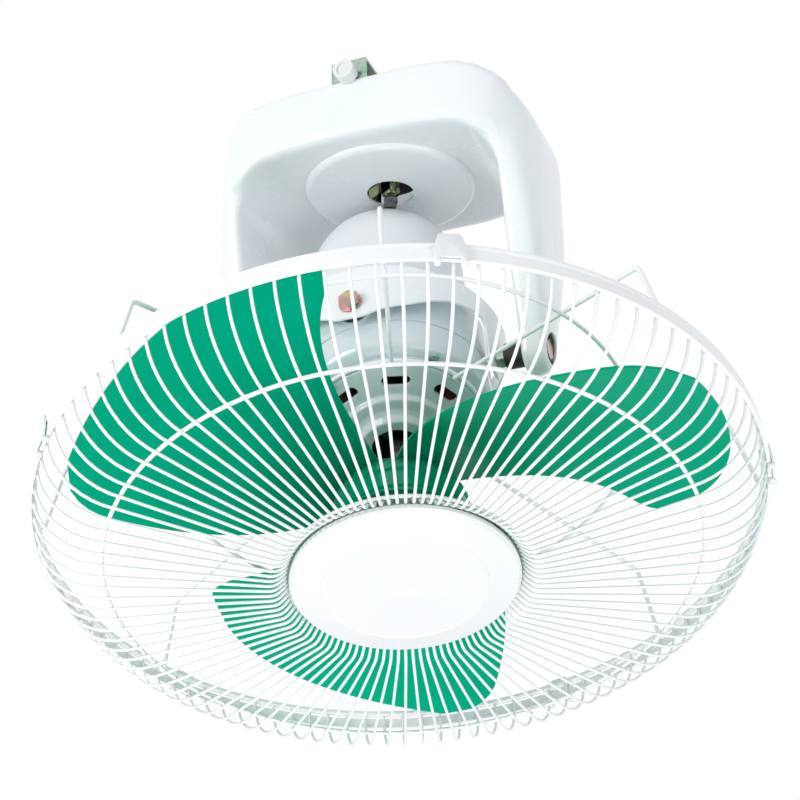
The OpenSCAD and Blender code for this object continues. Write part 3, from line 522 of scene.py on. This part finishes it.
dish = {"radius": 0.057, "shoulder": 0.005, "drop": 0.0042, "hole": 0.017, "low": 0.0036,
        "sheet": 0.0015}
shoulderZ = saddle["plate"] + dish["shoulder"] - dish["drop"]
floorZ = saddle["plate"] - dish["low"]
under = arcPoints(dish["radius"], shoulderZ, dish["shoulder"], -10, -90, 14)
under += [(0.050, shoulderZ - 0.00512), (0.040, floorZ + 0.0001), (0.022, floorZ),
          (dish["hole"], floorZ)]
back = [(dish["hole"], floorZ + dish["sheet"]), (0.04, floorZ + dish["sheet"]),
        (0.052, shoulderZ - 0.0035), (0.0561, saddle["plate"] + 0.0013),
        (0.0561, saddle["plate"] - 0.0001), (0.0618, saddle["plate"] - 0.0001)]
form = revolved(under + back + under[:1], 128)
piece("saddleDish", form, "saddle", "white_steel", ["dish_cup"], 40)
print("dish made")

band = {"out": 0.0765, "in": 0.0745, "top": 0.033, "edge": 0.0005, "hole": 0.0041, "steps": 360}
# the band's lower edge: degrees off the near or far bolt, millimetres above the pivots
bandLow = [(0, -13), (5, -12.9), (8, -12), (10.5, -10.4), (13, -8.4), (17, -6), (30, 0), (42, 8),
           (50, 12.5), (60, 15.5), (68, 17), (72, 16.4), (75, 13), (77.5, 5), (79.5, -3), (82, -10),
           (85, -13.2), (90, -14)]


def lowAt(angle):
    # how far down the band reaches at this angle from the arms' axis
    off = abs(90 - abs(math.degrees(angle)) % 180)
    for (before, first), (after, last) in zip(bandLow, bandLow[1:]):
        if off <= after:
            return (first + (last - first) * (off - before) / (after - before)) / 1000
    return bandLow[-1][1] / 1000


soft = band["edge"]
bandProfile = [(band["in"], soft), (band["in"] + soft, 0), (band["out"] - soft, 0),
               (band["out"], soft), (band["out"], band["top"] - soft),
               (band["out"] - soft, band["top"]), (band["in"] + soft, band["top"]),
               (band["in"], band["top"] - soft)]
form = revolved(bandProfile + bandProfile[:1], band["steps"])
for v in form.verts:
    if v.co.z < 0.01:
        v.co.z += lowAt(math.atan2(v.co.y, v.co.x))
holes = [turned(rod(band["hole"], 0.2, (0, 0, 0)), Matrix.Rotation(math.radians(angle), 4, "Z"))
         for angle in (0, 90)]
form = turned(carved(form, *holes, operation="DIFFERENCE"), ringPlace)
piece("gimbalBand", form, "ring", "white_steel", ["gimbal_ring"], 40)
print("ring made")

motor = {"split": -0.012, "seam": 0.0009, "wide": 0.067, "low": -0.028, "neck": 0.0575, "face": -0.044,
         "step": 0.037, "stepZ": -0.051, "wall": 0.002, "nose": 0.024, "noseZ": -0.064, "hole": 0.0165,
         "shaft": 0.006, "bend": 0.0014, "vents": 8, "ventTurn": -69, "ventAt": 0.046, "vent": 0.0036,
         "ventHalf": 0.006}
wide, neck, step, stepZ = motor["wide"], motor["neck"], motor["step"], motor["stepZ"]
curl = wide - neck - 0.0005                               # the shell's round shoulder
outer = [(wide - motor["seam"], motor["split"]), (wide - motor["seam"], motor["split"] - motor["seam"]),
         (wide, motor["split"] - 0.0014)]
outer += arcPoints(wide - curl, motor["low"], curl, 0, -90, 12)
outer += [(neck + 0.0004, motor["low"] - curl), (neck, motor["low"] - curl - 0.0005)]
face = [(neck, motor["face"] + 0.0025), (neck - 0.0002, motor["face"]), (step + 0.004, stepZ + 0.0012),
        (step, stepZ), (step - 0.001, stepZ - 0.004), (0.029, stepZ - 0.0055), (0.026, stepZ - 0.008),
        (motor["nose"], motor["noseZ"]), (motor["hole"], motor["noseZ"])]
outer += [tuple(p) for p in rounded(face, motor["bend"], 4)]
inner = [(motor["hole"], stepZ - 0.002), (motor["shaft"], stepZ - 0.002),
         (motor["shaft"], stepZ + 0.0022), (step - 0.001, stepZ + 0.0022),
         (neck - motor["wall"], motor["face"] + 0.001), (neck - motor["wall"], motor["low"] - curl)]
inner += arcPoints(wide - curl, motor["low"], curl - motor["wall"], -90, 0, 12)
inner += [(wide - motor["wall"], motor["split"])]
form = revolved(outer + inner + outer[:1], 144)
cutters = []
for k in range(motor["vents"]):
    rounds = [rod(motor["vent"], 0.014, (0, side * motor["ventHalf"], stepZ + 0.004), "Z", 28)
              for side in (1, -1)]
    slot = block((-motor["vent"], -motor["ventHalf"], stepZ - 0.003),
                 (motor["vent"], motor["ventHalf"], stepZ + 0.011))
    angle = math.radians(motor["ventTurn"] + 360 / motor["vents"] * k)
    spin = Matrix.Rotation(angle, 4, "Z") @ Matrix.Translation((motor["ventAt"], 0, 0))
    cutters += [turned(cutter, spin) for cutter in (*rounds, slot)]
form = turned(carved(form, *cutters, operation="DIFFERENCE"), headPlace)
piece("frontShell", form, "head", "motor_paint", ["front_shell"], 38)
print("motor made")

# the edges' angles (degrees) and heights (shares of the reach) are fitted to the photo's blades
blade = {"reach": 0.2125, "root": 0.027, "thick": 0.002, "camber": 0.0009, "rim": -0.1248,
         "lead": (-33.3, 53.3, -24.5), "trail": (52.6, 31.2, 29), "bowAt": 0.612,
         "leadZ": (0.1461, -0.233), "trailZ": (0.2051, -0.117), "crestAt": 0.894,
         "tipFall": 0.106, "tipRise": 0.009, "corners": (0.029, 0.026), "along": 30, "across": 26}


def bladePoint(u, v):
    # u runs from the hub to the tip, v from the leading to the trailing edge
    tip = blade["reach"] * (1 - blade["tipFall"] * v ** 4 + blade["tipRise"] * (1 - v) ** 5)
    r = blade["root"] + (tip - blade["root"]) * u
    f = r / blade["reach"]
    lead, trail = (base + slope * f + bow * (f - blade["bowAt"]) ** 2
                   for base, slope, bow in (blade["lead"], blade["trail"]))
    trims = []
    for corner in blade["corners"]:                      # the tip's corners are rounded off
        short = max(0.0, 1 - (tip - r) / corner)
        trims.append(math.degrees(corner * (1 - math.sqrt(1 - short * short)) / r) / (trail - lead))
    v = trims[0] + v * (1 - sum(trims))
    a = math.radians(lead + (trail - lead) * v + orbit["bladeTurn"])
    leadZ = blade["leadZ"][0] + blade["leadZ"][1] * f
    trailZ = blade["trailZ"][0] + blade["trailZ"][1] * (blade["crestAt"] - f) ** 2
    z = blade["rim"] + blade["reach"] * (leadZ + (trailZ - leadZ) * v)
    z += blade["camber"] * math.sin(math.pi * v)
    return Vector((r * math.cos(a), r * math.sin(a), z))


def fanForm():
    bm = bmesh.new()
    bmesh.ops.create_grid(bm, x_segments=blade["along"], y_segments=blade["across"], size=0.5)
    for v in bm.verts:
        v.co = bladePoint(v.co.x + 0.5, v.co.y + 0.5)
    bmesh.ops.translate(bm, verts=bm.verts, vec=(0, 0, -blade["thick"] / 2))
    grown = bmesh.ops.extrude_face_region(bm, geom=bm.faces[:], use_keep_orig=True)
    bmesh.ops.translate(bm, verts=[v for v in grown["geom"] if isinstance(v, bmesh.types.BMVert)],
                        vec=(0, 0, blade["thick"]))
    bmesh.ops.spin(bm, geom=bm.verts[:] + bm.edges[:] + bm.faces[:], axis=(0, 0, 1), angle=math.tau,
                   steps=3, use_duplicate=True)
    bmesh.ops.remove_doubles(bm, verts=bm.verts, dist=1e-6)
    return bm


form = fanForm()
hub = {"top": -0.098, "low": -0.138, "bore": 0.005, "ribs": 12, "ribTurn": 10, "ribHalf": 0.0009}
hubProfile = [(hub["bore"], hub["top"]), (0.027, hub["top"]), (0.0298, -0.0988), (0.0312, -0.1008),
              (0.034, -0.1022), (0.0352, -0.1044), (0.037, -0.106), (0.0415, -0.1118),
              (0.0435, -0.1146), (0.0443, -0.1172), (0.0443, -0.1192), (0.0425, -0.1202),
              (0.0425, -0.1214), (0.0436, -0.1224), (0.0445, -0.131), (0.0445, -0.1334),
              (0.043, -0.1342), (0.043, -0.1354), (0.0448, -0.1362), (0.0448, hub["low"]),
              (0.041, hub["low"]), (0.0405, -0.132), (0.014, -0.132), (0.0135, -0.1372),
              (hub["bore"], -0.1372)]
hubForm = revolved(hubProfile + hubProfile[:1], 96)
ribs = []
for k in range(hub["ribs"]):
    rib = block((0.0405, -hub["ribHalf"], -0.1192), (0.0438, hub["ribHalf"], -0.1128))
    angle = math.radians(360 / hub["ribs"] * k + hub["ribTurn"])
    ribs.append(turned(rib, Matrix.Rotation(angle, 4, "Z")))
form = turned(joined(form, hubForm, *ribs), headPlace)
piece("fanBlades", form, "fan", "fan_green", ["fan_blades"], 40)
print("fan made")

guard = {"radius": 0.2325, "hoop": 0.0015, "rim": -0.1248, "wires": 104, "thick": 0.001, "knee": 0.1855,
         "kneeDrop": 0.04555, "bend": 0.0805, "bendDrop": 0.0536, "end": 0.0735, "endRise": 0.008}
topR = guard["radius"] - guard["hoop"] - guard["thick"] - 0.00005
curve = topR - guard["knee"]
kneeZ, bendZ = guard["rim"] - guard["kneeDrop"], guard["rim"] - guard["bendDrop"]
run = [(topR, 0, kneeZ + curve + 0.0006)]
run += [(guard["knee"] + curve * math.sin(math.radians(a)), 0,
         kneeZ + curve * (1 - math.cos(math.radians(a)))) for a in range(90, -1, -9)]
run += [tuple(p) for p in rounded([(guard["knee"] - 0.002, 0, kneeZ), (guard["bend"], 0, bendZ),
                                   (guard["end"], 0, bendZ + guard["endRise"])], 0.004, 3)]
form = sweep(bmesh.new(), run, guard["thick"], 8)
turned(form, Matrix.Rotation(math.radians(orbit["wireTurn"]), 4, "Z"))
bmesh.ops.spin(form, geom=form.verts[:] + form.edges[:] + form.faces[:], axis=(0, 0, 1), angle=math.tau,
               steps=guard["wires"], use_duplicate=True)
bmesh.ops.remove_doubles(form, verts=form.verts, dist=1e-6)
piece("frontWires", turned(form, headPlace), "head", "wire_white", ["front_wires"], 60)
print("front guard made")

spoke = {"foot": (0.22655, 0, -0.1263), "knee": (0.217, 0, -0.075), "end": (0.0585, 0, -0.0453),
         "thick": 0.0015, "turn": -71.6, "step": 43.3, "bend": 0.0045}
for k in range(1, 9):
    angle = spoke["turn"] + (k - 4) * spoke["step"] if k < 8 else spoke["turn"] + 180
    form = sweep(bmesh.new(), rounded([spoke["foot"], spoke["knee"], spoke["end"]], spoke["bend"], 8),
                 spoke["thick"], 14)
    turned(form, headPlace @ Matrix.Rotation(math.radians(angle), 4, "Z"))
    piece("rearSpoke%d" % k, form, "head", "wire_white", ["rear_spoke_%d" % k], 50)
print("spokes made")

clip = {"turn": -62.6, "step": -72, "out": 0.2330, "thick": 0.0014, "rim": 0.2303, "bore": 0.00262,
        "wall": 0.0008, "toe": 0.0019, "toeZ": -0.1382, "toeSide": 0.0074, "toeLong": 0.0046,
        "hookHalf": 0.006}
plate = [(-0.0095, -0.1298), (-0.0095, -0.1362), (-0.0078, -0.1385), (-0.006, -0.1385),
         (-0.0048, -0.1362), (0.0048, -0.1362), (0.006, -0.1385), (0.0078, -0.1385), (0.0095, -0.1362),
         (0.0095, -0.1298), (0.0066, -0.1192), (0.005, -0.1178), (-0.005, -0.1178), (-0.0066, -0.1192)]
for k in range(1, 6):
    half = clip["thick"] / 2
    form = slab(plate, lambda u, v, w: Vector((clip["out"] + half + w, u, v)), half)
    parts = [eased(form, 0.00035)]
    for side in (1, -1):
        toe = rod(clip["toe"], clip["toeLong"],
                  (clip["out"] - half, side * clip["toeSide"], clip["toeZ"]), segments=20)
        parts.append(eased(toe, 0.0004))
    hook = bmesh.new()                                    # a sleeve spun round the rear rim's wire
    strip = [hook.verts.new((clip["rim"] + clip["bore"] + wall, y * clip["hookHalf"], blade["rim"]))
             for wall, y in ((0, -1), (0, 1), (clip["wall"], 1), (clip["wall"], -1))]
    hookFace = hook.faces.new(strip)
    bmesh.ops.spin(hook, geom=[hookFace, *strip, *hookFace.edges],
                   cent=(clip["rim"], 0, blade["rim"]), axis=(0, 1, 0), angle=math.tau, steps=24,
                   use_merge=True)
    bmesh.ops.remove_doubles(hook, verts=hook.verts, dist=1e-6)
    angle = math.radians(clip["turn"] + (k - 1) * clip["step"])
    form = turned(joined(*parts, hook), headPlace @ Matrix.Rotation(angle, 4, "Z"))
    piece("guardClip%d" % k, form, "clip_%d" % k, "clip_white", ["guard_clip_%d" % k], 40)
print("clips made")

view = {"place": (0.380034, -0.951921, -0.679002), "right": (0.928243, 0.371749, -0.012945),
        "down": (-0.160394, 0.368612, -0.915641), "ahead": (-0.335617, 0.852014, 0.401788),
        "lens": 73.495, "sensor": 36}
camera = bpy.data.objects.new("camera", bpy.data.cameras.new("camera"))
camera.data.lens, camera.data.sensor_width = view["lens"], view["sensor"]
camera.data.clip_start, camera.data.clip_end = 0.05, 30
turn = Matrix((Vector(view["right"]), -Vector(view["down"]), -Vector(view["ahead"]))).transposed()
camera.matrix_world = Matrix.Translation(view["place"]) @ turn.to_4x4()
bpy.context.scene.collection.objects.link(camera)
bpy.context.scene.camera = camera

light = {"world": 0.62, "tint": (0.93, 0.97, 1.0)}
world = bpy.data.worlds.new("studio")
bpy.context.scene.world = world
world.use_nodes = True
links, boxes = world.node_tree.links, world.node_tree.nodes
sky = boxes["Background"]
sky.inputs["Color"].default_value = (*light["tint"], 1)
sky.inputs["Strength"].default_value = light["world"]
# the camera, mirrors and glass see plain white, the lighting stays bluish
white = boxes.new("ShaderNodeBackground")
white.inputs["Color"].default_value = (1, 1, 1, 1)
white.inputs["Strength"].default_value = 1.0
path = boxes.new("ShaderNodeLightPath")
seen = boxes.new("ShaderNodeMath")
seen.operation = "MAXIMUM"
links.new(path.outputs["Is Camera Ray"], seen.inputs[0])
links.new(path.outputs["Is Transmission Ray"], seen.inputs[1])
either = boxes.new("ShaderNodeMath")
either.operation = "MAXIMUM"
links.new(seen.outputs[0], either.inputs[0])
links.new(path.outputs["Is Glossy Ray"], either.inputs[1])
blend = boxes.new("ShaderNodeMixShader")
links.new(either.outputs[0], blend.inputs[0])
links.new(sky.outputs[0], blend.inputs[1])
links.new(white.outputs[0], blend.inputs[2])
links.new(blend.outputs[0], boxes["World Output"].inputs["Surface"])


def lamp(name, place, size, power, colour=(1, 1, 1)):
    # a round soft light turned towards the fan's head
    target = (0, 0, -0.22)
    made = bpy.data.objects.new(name, bpy.data.lights.new(name, "AREA"))
    made.data.shape, made.data.size, made.data.energy, made.data.color = "DISK", size, power, colour
    made.location = place
    made.rotation_euler = (Vector(target) - Vector(place)).to_track_quat("-Z", "Y").to_euler()
    bpy.context.scene.collection.objects.link(made)


lamp("keyLamp", (-0.9, -1.5, -0.2), 1.0, 14)
lamp("fillLamp", (1.5, -0.9, -0.9), 1.2, 7, (0.95, 0.98, 1))
lamp("lowLamp", (0.1, -0.6, -1.9), 1.2, 11)

floorMesh = bmesh.new()
bmesh.ops.create_grid(floorMesh, x_segments=8, y_segments=8, size=6,
                      matrix=Matrix.Translation((0, 0, -2.4)))
floor = loose(floorMesh, "floor")
floorFinish = Finish("floorPaint", Roughness=0.8)
mottle = floorFinish.noise(floorFinish.place(), 3, 3)
floorFinish.feed("Base Color", floorFinish.mix(mottle, (0.9, 0.9, 0.9), (0.87, 0.87, 0.87)))
floor.data.materials.append(floorFinish.material)
print("camera and light set")
